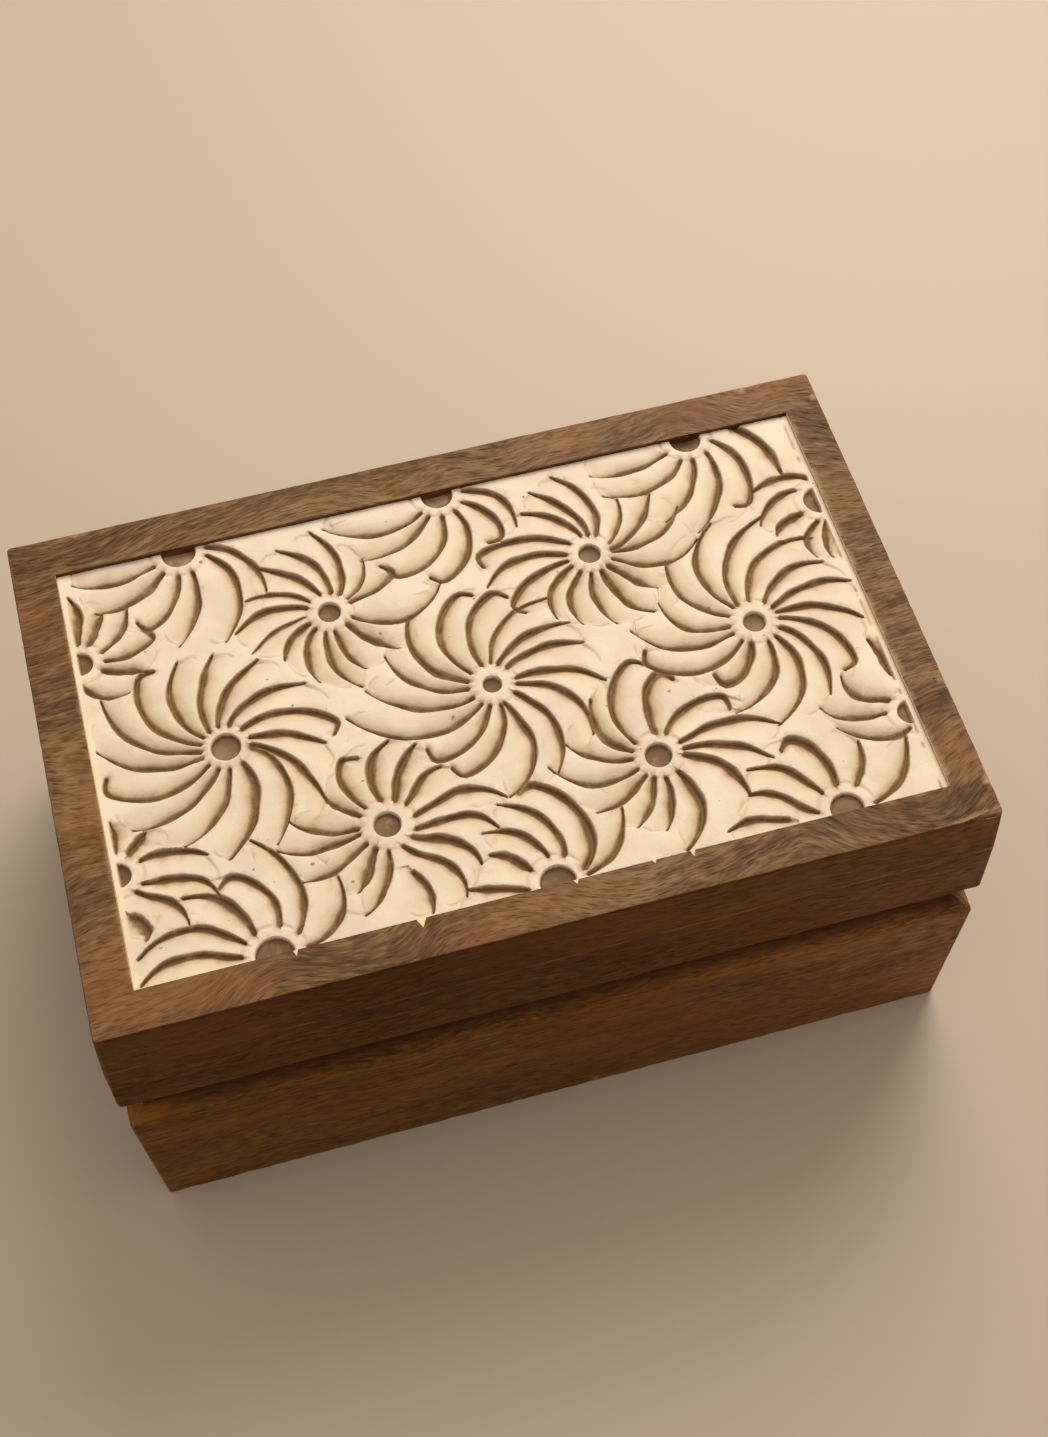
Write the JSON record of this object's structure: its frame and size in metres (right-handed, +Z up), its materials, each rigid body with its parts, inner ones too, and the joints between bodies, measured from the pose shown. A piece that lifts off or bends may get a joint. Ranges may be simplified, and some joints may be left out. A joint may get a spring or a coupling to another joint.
{
  "type": "keepsake box",
  "caption": "Small rectangular wooden box with mitred walls, a grooved seam and a hinged lid that carries a white carved floral panel.",
  "frame": {"origin": "centre of the face the box stands on", "axes": "+X along the width to the right seen from the front, +Y from the front to the hinge side, +Z up"},
  "size_m": [0.1526, 0.1002, 0.071],
  "materials": {
    "waxed_wood": "satin",
    "bottom_wood": "matte",
    "painted_carving": "matte",
    "brass": "satin"
  },
  "bodies": {
    "base": {"base_front_board": "waxed_wood", "base_back_board": "waxed_wood", "base_left_board": "waxed_wood", "base_right_board": "waxed_wood", "bottom_board": "bottom_wood", "left_hinge_base_leaf": "brass", "left_hinge_pin": "brass", "left_hinge_base_screw_1": "brass", "left_hinge_base_screw_2": "brass", "right_hinge_base_leaf": "brass", "right_hinge_pin": "brass", "right_hinge_base_screw_1": "brass", "right_hinge_base_screw_2": "brass"},
    "lid": {"lid_front_rail": "waxed_wood", "lid_back_rail": "waxed_wood", "lid_left_rail": "waxed_wood", "lid_right_rail": "waxed_wood", "lid_top_board": "waxed_wood", "carved_panel": "painted_carving", "left_hinge_lid_leaf": "brass", "left_hinge_lid_screw_1": "brass", "left_hinge_lid_screw_2": "brass", "right_hinge_lid_leaf": "brass", "right_hinge_lid_screw_1": "brass", "right_hinge_lid_screw_2": "brass"}
  },
  "joints": [
    {"name": "lid_hinge", "type": "hinge", "parent": "base", "child": "lid", "pos_m": [0, 0.0474, 0.0408], "axis": [-1, 0, 0], "range_deg": [0, 102]}
  ]
}
